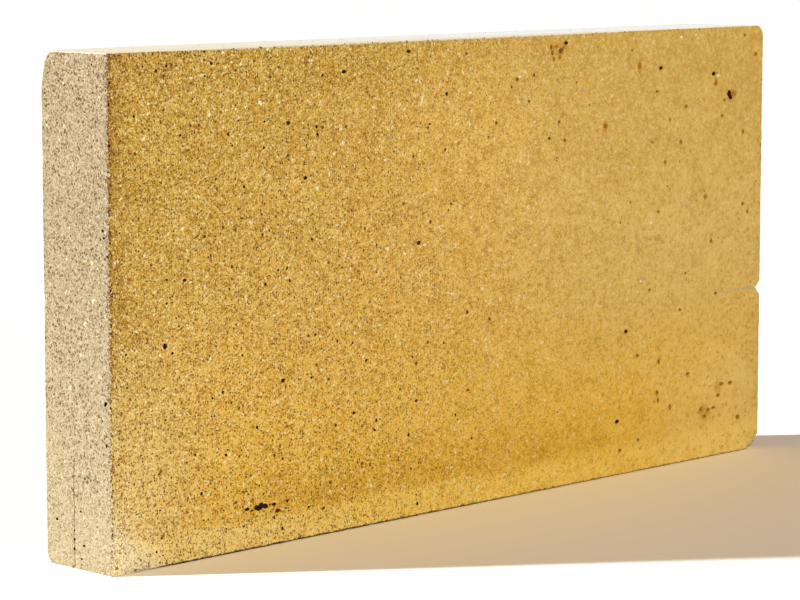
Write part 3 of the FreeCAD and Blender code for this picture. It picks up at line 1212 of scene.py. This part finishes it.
@dataclass(frozen=True)
class Notch(Flaw):
    """The notch in the far arris of the front bed: how far up it is, its depth and half its width."""

    up: float = 47.9
    deep: float = 1.7
    half: float = 2.35
    stretch: float = 4.4
    rough: float = 0.16

    def tool(self, box: Box) -> bpy.types.Object:
        """Model the rough diamond bar that knocks the notch out.

        Args:
            box: the brick's box.

        Returns:
            The bar.
        """
        bpy.ops.object.select_all(action="DESELECT")
        bpy.ops.mesh.primitive_cylinder_add(vertices=4, radius=1.0, depth=1.0)
        tool = bpy.context.object
        with editing(tool, "VERT"):
            bpy.ops.mesh.select_all(action="SELECT")
            bpy.ops.mesh.subdivide(number_cuts=5)
            long = self.stretch * self.deep
            size = (self.deep * MM, self.half * MM, long * MM)
            bpy.ops.transform.resize(value=size)
            bpy.ops.transform.vertex_random(offset=self.rough * MM, seed=5)
        deep = Vector((1.0, -1.0, 0.0)).normalized()
        up = Vector((0, 0, 1))
        place = Vector((box.high.x, box.low.y, box.low.z + self.up * MM))
        turn = Matrix((deep, up, deep.cross(up))).transposed().to_4x4()
        tool.matrix_world = Matrix.Translation(place) @ turn
        return tool


@dataclass(frozen=True)
class Crack(Flaw):
    """The crack that rises from the foot of the near end, where it is widest. Its inside is painted near
    black, as shade.
    """

    tone: ClassVar[Tone] = Tone.SOOT
    from_back: float = 10.7
    wide: float = 0.32
    deep: float = 0.9
    tall: float = 27.0
    below: float = 2.0
    levels: int = 24

    def tool(self, box: Box) -> bpy.types.Object:
        """Model the wavering wedge that opens the crack.

        Args:
            box: the brick's box.

        Returns:
            The wedge.
        """
        chance = random.Random(7)
        tool = standing_cube()
        mesh = tool.data
        with editing(tool, "VERT"):
            for number in range(1, self.levels):
                bpy.ops.mesh.select_all(action="SELECT")
                bpy.ops.mesh.bisect(plane_co=(0, 0, number / self.levels), plane_no=(0, 0, 1))
        for level in range(self.levels + 1):
            height = level / self.levels
            pick(mesh.vertices, lambda vertex, at=height: abs(vertex.co.z - at) < 0.01, mesh)
            # It narrows upwards, its width wavers at random, and it sways from side to side
            with editing(tool, "VERT"):
                narrow = (0.70 + 0.30 * (1 - height)) * chance.uniform(0.40, 1.08)
                bpy.ops.transform.resize(value=(0.6 + 0.4 * (1 - height), narrow, 1.0))
                sway = 0.20 * math.sin(level * 1.7) + 0.18 * math.sin(level * 0.73 + 1.0)
                bpy.ops.transform.translate(value=(0, sway, 0))
        with editing(tool, "VERT"):
            bpy.ops.mesh.select_all(action="SELECT")
            size = (2 * self.deep * MM, self.wide * MM, (self.tall + self.below) * MM)
            bpy.ops.transform.resize(value=size, center_override=(0, 0, 0))
        foot = box.low.z - self.below * MM
        tool.matrix_world = Matrix.Translation((box.low.x, box.high.y - self.from_back * MM, foot))
        return tool


@dataclass(frozen=True)
class Scatter:
    """A scatter of small pores over all six sides, in millimetres.

    Their radii start at least. The larger a pore is, up to largest, the rarer it is, by falloff. Pale ones
    are shallow.
    """

    count: int = 620
    least: float = 0.22
    largest: float = 1.1
    falloff: float = 7.0
    largest_on_front: float = 0.34
    shallow: float = 0.3

    def dents(self, box: Box, taken: Sequence[Dent]) -> list[Dent]:
        """Scatter small pores over every side.

        Args:
            box: the brick's box.
            taken: the dents that they keep clear of.

        Returns:
            The new dents.
        """
        chance = random.Random(11)
        sides = list(Side)
        areas = [math.prod(box.size[axis] for axis in others(side.axis)) for side in sides]
        dents: list[Dent] = []
        while len(dents) < self.count:
            side = chance.choices(sides, areas)[0]
            place = Vector([chance.uniform(box.low[axis], box.high[axis]) for axis in range(3)])
            place[side.axis] = box.level(side.axis, side.way)
            radius = min(self.least + chance.expovariate(self.falloff), self.largest) * MM
            flat = chance.uniform(0.7, 1.3)
            tone = chance.choices(tuple(SCATTERED_TONES), tuple(SCATTERED_TONES.values()))[0]
            deep = radius * self.shallow if tone in (Tone.CREAM, Tone.ASH) else radius
            half = Vector((radius * flat, radius / flat, deep))
            dent = Dent(side, place, half, chance.uniform(0, math.pi), tone, True)
            # The front bed has the photograph's own pores, so it takes only small ones, and fewer of them
            if side is Side.FRONT_BED and (radius > self.largest_on_front * MM or chance.random() < 0.5):
                continue
            if all(dent.clear_of(other) for other in taken):
                dents.append(dent)
        return dents


@dataclass(frozen=True)
class Nicks:
    """The small nicks of the arrises, in millimetres.

    They are closest together on the near arris, where many are stained from stained_above upwards.
    """

    gap: float = 2.72
    gap_near: float = 1.92
    margin: float = 2.0
    length: tuple[float, float] = (0.20, 0.55)
    width: tuple[float, float] = (0.18, 0.34)
    inset: tuple[float, float] = (0.10, 0.60)
    sunk: float = 0.15
    stained_above: float = 30.0

    def dents(self, box: Box) -> list[Dent]:
        """Chip the nicks out along all twelve arrises.

        Args:
            box: the brick's box.

        Returns:
            The nicks.
        """
        chance = random.Random(23)
        dents: list[Dent] = []
        for axis, ways in itertools.product(range(3), itertools.product((-1, 1), repeat=2)):
            place = box.middle.copy()
            for other, way in zip(others(axis), ways):
                place[other] = box.level(other, way)
            near = axis == 2 and ways == (-1, -1)
            gap = self.gap_near if near else self.gap
            at = box.low[axis] + self.margin * MM
            while at < box.high[axis] - self.margin * MM:
                place[axis] = at
                dents.append(self.nick(axis, ways, place.copy(), chance, near))
                at += chance.uniform(0.6, 1.6) * gap * MM
        return dents

    def nick(
        self, axis: int, ways: tuple[int, int], place: Vector, chance: random.Random, near: bool
    ) -> Dent:
        """Make one nick in an arris.

        Args:
            axis: the axis that the arris runs along.
            ways: the way that the arris looks along each of the other two axes.
            place: the place on the unworn arris, which the nick takes over.
            chance: the source of chance numbers.
            near: whether it is the near arris, whose nicks are dark.

        Returns:
            The dent, set on the side that it shows most on.
        """
        which = chance.randrange(2)
        side = Side((others(axis)[which], ways[which]))
        other = others(axis)[1 - which]
        length, width, inset = (
            chance.uniform(*span) * MM for span in (self.length, self.width, self.inset))
        place[other] -= ways[1 - which] * inset
        place[side.axis] -= side.way * self.sunk * MM
        upright = axis == (1 if side.axis == 2 else 2)
        half = Vector((width, length, width)) if upright else Vector((length, width, width))
        tones = STAINED_NICKS if near and place.z > self.stained_above * MM else PLAIN_NICKS
        tone = chance.choices(tuple(tones), tuple(tones.values()))[0]
        return Dent(side, place, half, chance.uniform(-0.25, 0.25), tone, True)


@dataclass(frozen=True)
class Wear:
    """One layer of wear: the size of its lumps, its detail, how bright its noise is and how deep it goes."""

    name: str
    lump: float
    detail: int
    bright: float
    deep: float
    group: str = ""


@dataclass
class Firebrick:
    """The worn brick. Sizes are in millimetres."""

    cell: float = 5.0
    cuts: int = 3
    arris: float = 0.4
    foot_arris: float = 0.15
    arris_segments: int = 3
    worn_corner: float = 3.0
    corner_segments: int = 5
    arris_reach: float = 1.6
    wear: tuple[Wear, ...] = (
        Wear("undulation", 14.0, 2, 1.35, 0.10),
        Wear("grain", 2.6, 3, 1.30, 0.10),
        Wear("chipping", 1.9, 2, 1.60, 0.40, "arrises"),
    )
    wear_contrast: float = 1.5
    flaws: tuple[Flaw, ...] = (
        Facet(-1, 1, True, 5.1, 3.6, 4.58, seed=11),
        Facet(-1, 1, True, 5.1, 1.85, 11.5, seed=12),
        Facet(-1, 1, False, 2.7, 1.6, 2.13, seed=13),
        Facet(-1, 1, False, 2.7, 1.08, 3.4, seed=14),
        Facet(1, -1, False, 6.2, 2.8, 3.73, seed=15),
        Facet(1, -1, False, 6.2, 2.17, 5.0, seed=16),
        Notch(),
        Crack(),
    )
    scatter: Scatter = Scatter()
    nicks: Nicks = Nicks()
    lump_shapes: int = 6
    lump_rough: float = 0.24
    fine_rough: float = 0.3
    clearance: float = 1.35
    weld: float = 0.004
    sliver: float = 0.001
    smooth_below: float = math.radians(40)
    box: Box = field(default_factory=lambda: Box(*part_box(NODE)))
    finishes: dict[Tone, bpy.types.Material] = field(default_factory=make_finishes)

    def press_block(self) -> bpy.types.Object:
        """Shape the block, divide its faces into small cells and round its arrises.

        Returns:
            The block.
        """
        bpy.ops.object.select_all(action="DESELECT")
        bpy.ops.mesh.primitive_cube_add(size=1.0)
        block = bpy.context.object
        block.name = "worn_firebrick"
        block.data.name = "worn_firebrick"
        with editing(block):
            bpy.ops.mesh.select_all(action="SELECT")
            bpy.ops.transform.resize(value=self.box.size)
            bpy.ops.transform.translate(value=self.box.middle)
        mesh = block.data

        def is_far_corner(edge: bpy.types.MeshEdge) -> bool:
            """Tell whether an edge is the far upper corner of the big face, seen square on."""
            ends = [mesh.vertices[number].co for number in edge.vertices]
            return all(end.x > self.box.high.x - CLOSE and end.z > self.box.high.z - CLOSE for end in ends)

        pick(mesh.edges, is_far_corner, mesh)
        with editing(block, "EDGE"):
            bpy.ops.mesh.bevel(
                offset=self.worn_corner * MM, segments=self.corner_segments, affect="EDGES",
                clamp_overlap=False)
        with editing(block):
            for axis in range(3):
                self.divide(axis)
            bpy.ops.mesh.select_all(action="SELECT")
            bpy.ops.mesh.subdivide(number_cuts=self.cuts)
        for radius, at_foot in ((self.arris, False), (self.foot_arris, True)):
            self.round_arrises(block, radius, at_foot)
        return block

    def round_arrises(self, block: bpy.types.Object, radius: float, at_foot: bool) -> None:
        """Round some of the arrises.

        Args:
            block: the block.
            radius: how far to round them.
            at_foot: whether to round those that the block stands on, or all the others.
        """
        mesh = block.data

        def is_meant(edge: bpy.types.MeshEdge) -> bool:
            """Tell whether a sharp edge is one of those to round."""
            low = all(mesh.vertices[number].co.z < self.box.low.z + CLOSE for number in edge.vertices)
            return edge.select and at_foot == low

        with editing(block, "EDGE"):
            bpy.ops.mesh.select_all(action="DESELECT")
            bpy.ops.mesh.edges_select_sharp(sharpness=math.radians(60))
        wanted = [is_meant(edge) for edge in mesh.edges]
        pick(mesh.edges, lambda edge: wanted[edge.index], mesh)
        with editing(block, "EDGE"):
            bpy.ops.mesh.bevel(
                offset=radius * MM, segments=self.arris_segments, affect="EDGES", clamp_overlap=False)

    def divide(self, axis: int) -> None:
        """Cut the block that is being edited across one axis, a cell at a time.

        Args:
            axis: the number of the axis.
        """
        count = round(self.box.size[axis] / (self.cell * MM))
        square = Vector((0, 0, 0))
        square[axis] = 1.0
        for number in range(1, count):
            place = self.box.low.copy()
            place[axis] += self.box.size[axis] * number / count
            bpy.ops.mesh.select_all(action="SELECT")
            bpy.ops.mesh.bisect(plane_co=place, plane_no=square)

    def wear_surface(self, block: bpy.types.Object) -> None:
        """Sink the faces by a slow unevenness and a fine grain, and chip the arrises. All goes inwards.

        Args:
            block: the block.
        """
        mesh = block.data
        arrises = block.vertex_groups.new(name="arrises")
        reach = self.arris_reach * MM
        inner = [low + reach for low in self.box.low], [high - reach for high in self.box.high]

        def is_on_arris(vertex: bpy.types.MeshVertex) -> bool:
            """Tell whether a vertex lies close to two sides at once."""
            return sum(not inner[0][axis] < vertex.co[axis] < inner[1][axis] for axis in range(3)) > 1

        pick(mesh.vertices, is_on_arris, mesh)
        with editing(block, "VERT"):
            block.vertex_groups.active_index = arrises.index
            bpy.ops.object.vertex_group_assign()
        for wear in self.wear:
            texture = bpy.data.textures.new(wear.name, "CLOUDS")
            texture.noise_scale = wear.lump * MM
            texture.noise_depth = wear.detail
            texture.intensity = wear.bright
            texture.contrast = self.wear_contrast
            texture.use_clamp = True
            apply_modifier(
                block, wear.name, "DISPLACE", texture=texture, texture_coords="LOCAL", direction="NORMAL",
                mid_level=1.0, strength=wear.deep * MM, vertex_group=wear.group)

    def shape_lump(self, number: int, fine: bool) -> bpy.types.Object:
        """Model one rough ball of radius one, which dents are copied from.

        Args:
            number: its number, which its roughness hangs on.
            fine: whether it is for the small dents, and has fewer faces.

        Returns:
            The ball.
        """
        bpy.ops.object.select_all(action="DESELECT")
        bpy.ops.mesh.primitive_ico_sphere_add(subdivisions=1 if fine else 2, radius=1.0)
        lump = bpy.context.object
        with editing(lump, "VERT"):
            bpy.ops.mesh.select_all(action="SELECT")
            rough = self.fine_rough if fine else self.lump_rough
            bpy.ops.transform.vertex_random(offset=rough, seed=number + 1)
        return lump

    def paint(self, tool: bpy.types.Object, tone: Tone) -> None:
        """Give a cutting tool the brick's slots, and all its faces the slot of one tone.

        Args:
            tool: the tool.
            tone: the tone.
        """
        mesh = tool.data
        if not mesh.materials:
            for material in self.finishes.values():
                mesh.materials.append(material)
        mesh.polygons.foreach_set("material_index", [tone.value] * len(mesh.polygons))

    def cut(self, block: bpy.types.Object, tools: Sequence[bpy.types.Object]) -> None:
        """Join some cutting tools, cut them out of the block and throw them away.

        Args:
            block: the block.
            tools: the tools, none of which touches another.
        """
        bpy.ops.object.select_all(action="DESELECT")
        for tool in tools:
            tool.select_set(True)
        bpy.context.view_layer.objects.active = tools[0]
        if len(tools) > 1:
            bpy.ops.object.join()
        joined = tools[0]
        before = len(block.data.vertices)
        apply_modifier(
            block, "cut", "BOOLEAN", operation="DIFFERENCE", solver="MANIFOLD", material_mode="INDEX",
            object=joined)
        if len(block.data.vertices) == before:
            raise RuntimeError("a cutting tool has missed the brick")
        discard(joined)

    def cut_flaws(self, block: bpy.types.Object) -> None:
        """Break the spalled corners off, and cut the notch and the crack.

        Args:
            block: the block.
        """
        for flaw in self.flaws:
            tool = flaw.tool(self.box)
            self.paint(tool, flaw.tone)
            self.cut(block, [tool])

    def in_layers(self, dents: Sequence[Dent]) -> list[list[Dent]]:
        """Sort dents into layers, in each of which no two of them touch.

        Args:
            dents: the dents.

        Returns:
            The layers.
        """
        layers: list[list[Dent]] = []
        for dent in dents:
            for layer in layers:
                if all(dent.clear_of(other, self.clearance) for other in layer):
                    layer.append(dent)
                    break
            else:
                layers.append([dent])
        return layers

    def carve(self, block: bpy.types.Object, dents: Sequence[Dent]) -> None:
        """Cut the dents, a layer at a time, so that the mesh stays closed.

        Args:
            block: the block.
            dents: the dents.
        """
        shapes = range(self.lump_shapes)
        lumps = {fine: [self.shape_lump(number, fine) for number in shapes] for fine in (False, True)}
        for lump in itertools.chain(*lumps.values()):
            self.paint(lump, Tone.CLAY)
        shape = itertools.cycle(shapes)
        layers = self.in_layers(dents)
        for layer in layers:
            tools = []
            for dent in layer:
                tool = lumps[dent.fine][next(shape)].copy()
                tool.data = tool.data.copy()
                bpy.context.collection.objects.link(tool)
                tool.matrix_world = dent.frame()
                self.paint(tool, dent.tone)
                tools.append(tool)
            self.cut(block, tools)
        for lump in itertools.chain(*lumps.values()):
            discard(lump)
        LOG.info("%d dents cut in %d layers", len(dents), len(layers))

    def lay_out_map(self, block: bpy.types.Object) -> None:
        """Lay the six sides out flat in one map, each at the same scale.

        Args:
            block: the block.
        """
        gap = 2 * MM
        length, thick, tall = self.box.size
        whole = 2 * tall + 2 * thick + 5 * gap
        beside, second, third = length + 2 * gap, tall + 2 * gap, 2 * (tall + gap) + gap
        starts = {
            Side.FRONT_BED: (gap, gap), Side.BACK_BED: (gap, second),
            Side.CRACKED_END: (beside, gap), Side.PLAIN_END: (beside, second),
            Side.TOP: (gap, third), Side.BOTTOM: (gap, third + thick + gap),
        }
        mesh = block.data
        places = mesh.uv_layers.new(name="OFBake").data
        for face in mesh.polygons:
            side = min(Side, key=lambda each: self.box.depth_below(each, face.center))
            start, flat = starts[side], others(side.axis)
            for corner in face.loop_indices:
                point = mesh.vertices[mesh.loops[corner].vertex_index].co
                places[corner].uv = [
                    (start[way] + point[flat[way]] - self.box.low[flat[way]]) / whole for way in range(2)]

    def build(self) -> bpy.types.Object:
        """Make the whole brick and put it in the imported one's place.

        Returns:
            The finished piece.
        """
        block = self.press_block()
        LOG.info("block pressed: %d faces", len(block.data.polygons))
        self.paint(block, Tone.CLAY)
        self.wear_surface(block)
        self.cut_flaws(block)
        seen = seen_dents()
        scattered, nicked = self.scatter.dents(self.box, seen), self.nicks.dents(self.box)
        self.carve(block, [*seen, *scattered, *nicked])
        with editing(block, "VERT"):
            bpy.ops.mesh.select_all(action="SELECT")
            bpy.ops.mesh.remove_doubles(threshold=self.weld * MM)
            bpy.ops.mesh.dissolve_degenerate(threshold=self.sliver * MM)
        self.lay_out_map(block)
        take(block)
        bpy.ops.object.shade_smooth_by_angle(angle=self.smooth_below)
        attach(block, BODY)
        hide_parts(NODE)
        return block


# The studio


@dataclass(frozen=True)
class Lamp:
    """One lamp: where it stands, where it points, how large and how strong it is."""

    name: str
    kind: str
    place: tuple[float, float, float]
    target: tuple[float, float, float]
    power: float
    size: float

    def light(self) -> bpy.types.Object:
        """Set the lamp up.

        Returns:
            The lamp.
        """
        bpy.ops.object.light_add(type=self.kind, location=self.place)
        lamp = bpy.context.object
        lamp.name = self.name
        aim = Vector(self.target) - Vector(self.place)
        lamp.rotation_euler = aim.to_track_quat("-Z", "Y").to_euler()
        lamp.data.energy = self.power
        if self.kind == "SUN":
            lamp.data.angle = self.size
        else:
            lamp.data.shape = "SQUARE"
            lamp.data.size = self.size
        return lamp


@dataclass(frozen=True)
class Studio:
    """The pale floor, the even surroundings, a low key light from behind and a broad fill in front."""

    floor_span: float = 30.0
    surroundings: float = 0.15
    lamps: tuple[Lamp, ...] = (
        Lamp("key_light", "SUN", (-1.294, 1.008, 1.148), (0.0, 0.0, 0.0), 3.9, math.radians(2.0)),
        Lamp("front_fill", "AREA", (-0.45, -2.2, 0.25), (0.0, 0.0, 0.06), 45.0, 1.2),
    )

    def build(self) -> bpy.types.Object:
        """Lay the floor, light the room and set the way that colours are shown.

        Returns:
            The floor.
        """
        bpy.ops.object.select_all(action="DESELECT")
        bpy.ops.mesh.primitive_plane_add(size=self.floor_span)
        floor = bpy.context.object
        floor.name = "floor"
        floor.data.materials.append(PaleFloor().make())
        for lamp in self.lamps:
            lamp.light()
        self.surround()
        bpy.context.scene.view_settings.view_transform = "Standard"
        return floor

    def surround(self) -> None:
        """Light the room evenly, and show it white behind the brick."""
        world = bpy.data.worlds.new("surroundings")
        bpy.context.scene.world = world
        desk = Desk(world)
        strength = desk.seen() * (1.0 - self.surroundings) + self.surroundings
        background = desk.add("ShaderNodeBackground", None, {"Color": (1.0, 1.0, 1.0), "Strength": strength})
        desk.finish(background, "ShaderNodeOutputWorld")


def main() -> None:
    """Build the studio, the camera and the brick."""
    logging.basicConfig(level=logging.INFO, format="%(name)s: %(message)s")
    EYE.make_camera()
    Studio().build()
    brick = Firebrick().build()
    triangles = sum(len(face.vertices) - 2 for face in brick.data.polygons)
    LOG.info("%s: %d triangles", brick.name, triangles)


if __name__ == "__main__":
    main()
